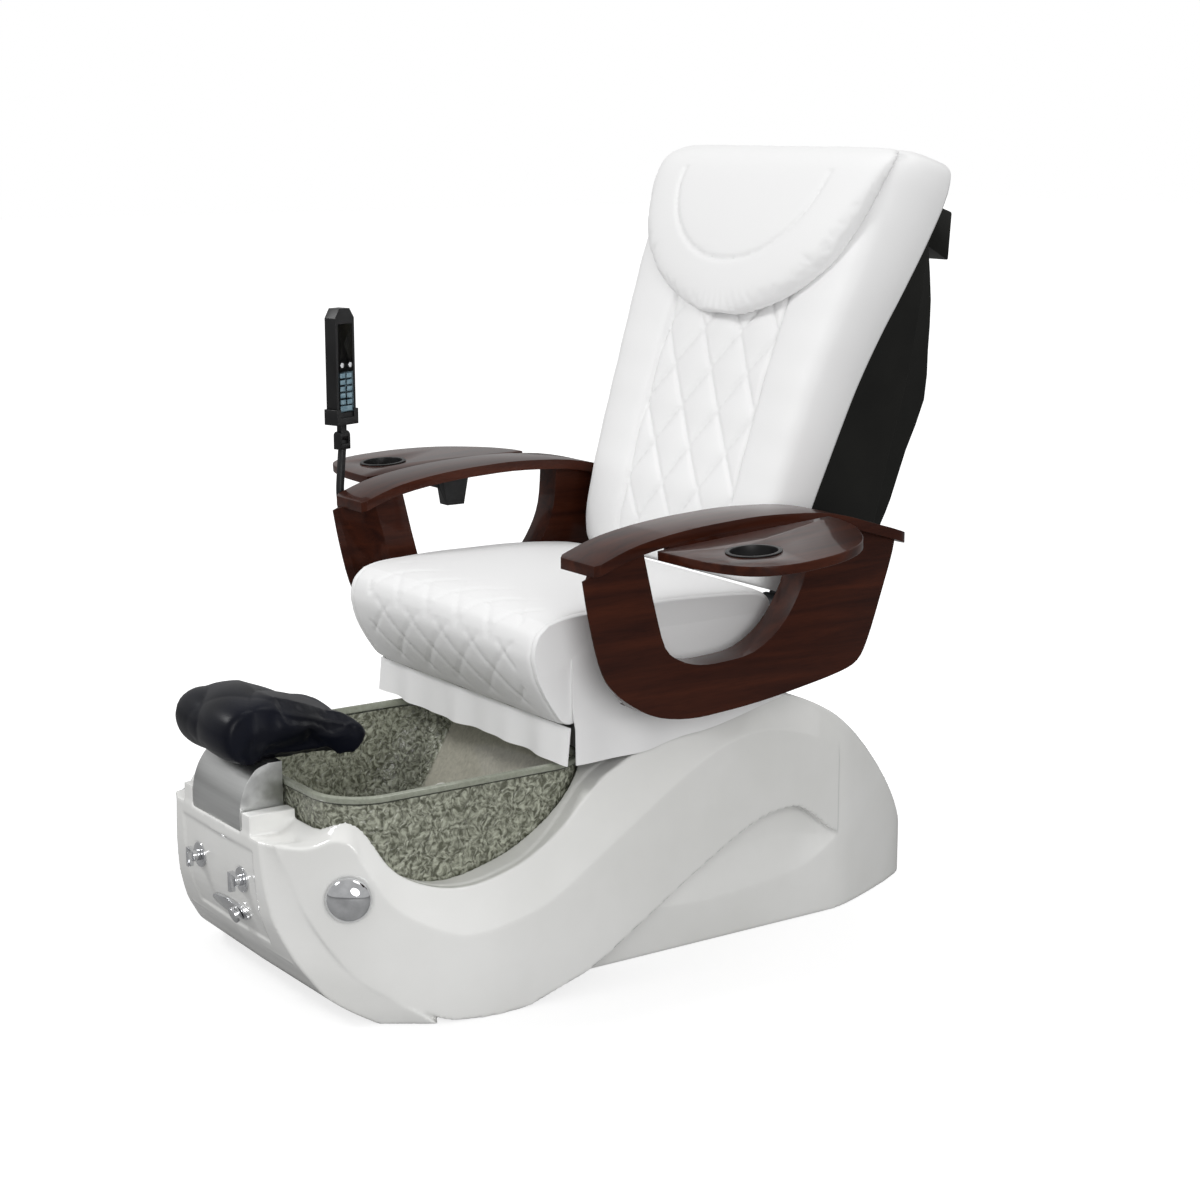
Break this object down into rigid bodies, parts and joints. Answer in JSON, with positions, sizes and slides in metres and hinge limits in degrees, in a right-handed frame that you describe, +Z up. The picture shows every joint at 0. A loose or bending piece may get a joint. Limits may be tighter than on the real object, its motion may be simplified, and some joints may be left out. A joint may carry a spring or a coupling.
{
  "type": "pedicure spa chair",
  "caption": "White pedicure spa chair: massage seat with quilted back, wooden arms with fold-up trays and remote, on a wave-shaped tub base with a clear textured foot bowl.",
  "frame": {"origin": "on the floor, on the middle plane, under the front edge of the seat: the middle of a cross tube of the floor frame", "axes": "+Z up, -Y the way the sitter faces (towards the footrest), +X the sitter's left"},
  "size_m": [1.4304, 1.479, 1.4057],
  "materials": {
    "white_gelcoat": "gloss",
    "clear_bowl": "textured",
    "frame_steel": "satin",
    "stainless": "brushed",
    "chrome": "polished",
    "brass": "machined",
    "hinge_steel": "satin",
    "white_plastic": "satin",
    "black_plastic": "satin",
    "back_shell_black": "satin",
    "hose_rubber": "satin",
    "white_leatherette": "soft",
    "navy_cover": "matte",
    "walnut_gloss": "gloss",
    "screen": "gloss",
    "keypad_rubber": "satin"
  },
  "bodies": {
    "base": {"base_shell": "white_gelcoat", "floor_frame": "frame_steel", "rear_panel": "white_gelcoat", "bowl": "clear_bowl", "jet_housing": "white_plastic", "jet_motor": "black_plastic", "drain_strainer": "chrome", "drain_pipe": "white_plastic", "fill_spout": "chrome", "spout_hose": "hose_rubber", "hot_valve": "brass", "cold_valve": "brass", "tap_plates": "chrome", "supply_hoses": "hose_rubber", "spray_holder": "chrome", "control_box": "black_plastic", "seat_rails": "frame_steel"},
    "impeller": {"jet_impeller": "white_plastic"},
    "plug": {"drain_plug": "chrome"},
    "knob": {"drain_knob": "chrome"},
    "hot_tap": {"hot_handle": "chrome"},
    "cold_tap": {"cold_handle": "chrome"},
    "spray": {"spray_head": "chrome"},
    "footrest": {"footrest_bracket": "stainless", "footrest_pad": "navy_cover"},
    "seat": {"seat_frame": "frame_steel", "seat_actuator": "black_plastic", "seat_cushion": "white_leatherette", "front_skirt": "white_leatherette", "side_skirt_left": "white_leatherette", "side_skirt_right": "white_leatherette", "arm_panel_left": "walnut_gloss", "arm_panel_right": "walnut_gloss", "arm_cap_left": "walnut_gloss", "arm_cap_right": "walnut_gloss", "arm_bolts": "hinge_steel", "tray_bracket_left": "black_plastic", "tray_bracket_right": "black_plastic", "remote_stalk": "black_plastic"},
    "back": {"back_frame": "frame_steel", "back_shell": "back_shell_black", "back_cushion": "white_leatherette", "pillow": "white_leatherette", "rail_cover": "black_plastic"},
    "massager": {"massage_carriage": "frame_steel"},
    "rollers": {"massage_rollers": "black_plastic"},
    "tray_l": {"tray_left": "walnut_gloss", "tray_hinge_left": "hinge_steel", "cup_ring_left": "chrome"},
    "tray_r": {"tray_right": "walnut_gloss", "tray_hinge_right": "hinge_steel", "cup_ring_right": "chrome"},
    "cradle": {"remote_cradle": "black_plastic"},
    "handset": {"remote_handset": "black_plastic", "remote_screen": "screen", "remote_keypad": "keypad_rubber"},
    "button_a": {"remote_button_up": "chrome"},
    "button_b": {"remote_button_down": "chrome"}
  },
  "joints": [
    {"name": "seat_slide", "type": "slide", "parent": "base", "child": "seat", "axis": [0, -1, 0], "range_m": [0, 0.12]},
    {"name": "back_recline", "type": "hinge", "parent": "seat", "child": "back", "pos_m": [0, 0.5, 0.6], "axis": [-1, 0, 0], "range_deg": [0, 30]},
    {"name": "massage_travel", "type": "slide", "parent": "back", "child": "massager", "axis": [0, 0.3173, 0.9483], "range_m": [-0.06, 0.32]},
    {"name": "roller_spin", "type": "hinge", "parent": "massager", "child": "rollers", "pos_m": [0, 0.61029, 0.81617], "axis": [1, 0, 0], "continuous": true},
    {"name": "tray_left_fold", "type": "hinge", "parent": "seat", "child": "tray_l", "pos_m": [0.47, 0.25, 0.763], "axis": [0, -0.9981, -0.061], "range_deg": [0, 90]},
    {"name": "tray_right_fold", "type": "hinge", "parent": "seat", "child": "tray_r", "pos_m": [-0.47, 0.25, 0.763], "axis": [0, 0.9981, 0.061], "range_deg": [0, 90]},
    {"name": "footrest_slide", "type": "slide", "parent": "base", "child": "footrest", "axis": [0, -1, 0], "range_m": [0, 0.034]},
    {"name": "hot_tap_turn", "type": "hinge", "parent": "base", "child": "hot_tap", "pos_m": [-0.081, -0.48945, 0.22], "axis": [0, 1, 0], "range_deg": [0, 90]},
    {"name": "cold_tap_turn", "type": "hinge", "parent": "base", "child": "cold_tap", "pos_m": [0.081, -0.48945, 0.22], "axis": [0, 1, 0], "range_deg": [0, 90]},
    {"name": "spray_pull", "type": "slide", "parent": "base", "child": "spray", "axis": [0, -0.9369, -0.3496], "range_m": [0, 0.25]},
    {"name": "knob_turn", "type": "hinge", "parent": "base", "child": "knob", "pos_m": [0.27016, -0.393, 0.22], "axis": [0.8026, -0.5966, 0], "range_deg": [0, 90]},
    {"name": "plug_lift", "type": "slide", "parent": "base", "child": "plug", "axis": [0, 0, 1], "range_m": [0, 0.01]},
    {"name": "impeller_spin", "type": "hinge", "parent": "base", "child": "impeller", "pos_m": [-0.1, 0.00502, 0.2138], "axis": [0, 0.8233, -0.5676], "continuous": true},
    {"name": "remote_tilt", "type": "hinge", "parent": "seat", "child": "cradle", "pos_m": [-0.471, 0.012, 0.862], "axis": [-0.309, 0.9511, 0], "range_deg": [-20, 20]},
    {"name": "handset_lift", "type": "slide", "parent": "cradle", "child": "handset", "axis": [0, 0, 1], "range_m": [0, 0.15]},
    {"name": "button_up_press", "type": "slide", "parent": "handset", "child": "button_a", "axis": [-0.9511, -0.309, 0], "range_m": [0, 0.001], "stiffness_N_per_m": 300, "springref_m": -0.001},
    {"name": "button_down_press", "type": "slide", "parent": "handset", "child": "button_b", "axis": [-0.9511, -0.309, 0], "range_m": [0, 0.001], "stiffness_N_per_m": 300, "springref_m": -0.001}
  ],
  "couplings": [
    {"joint": "plug_lift", "follows": "knob_turn", "m_per_rad": 0.006303}
  ]
}
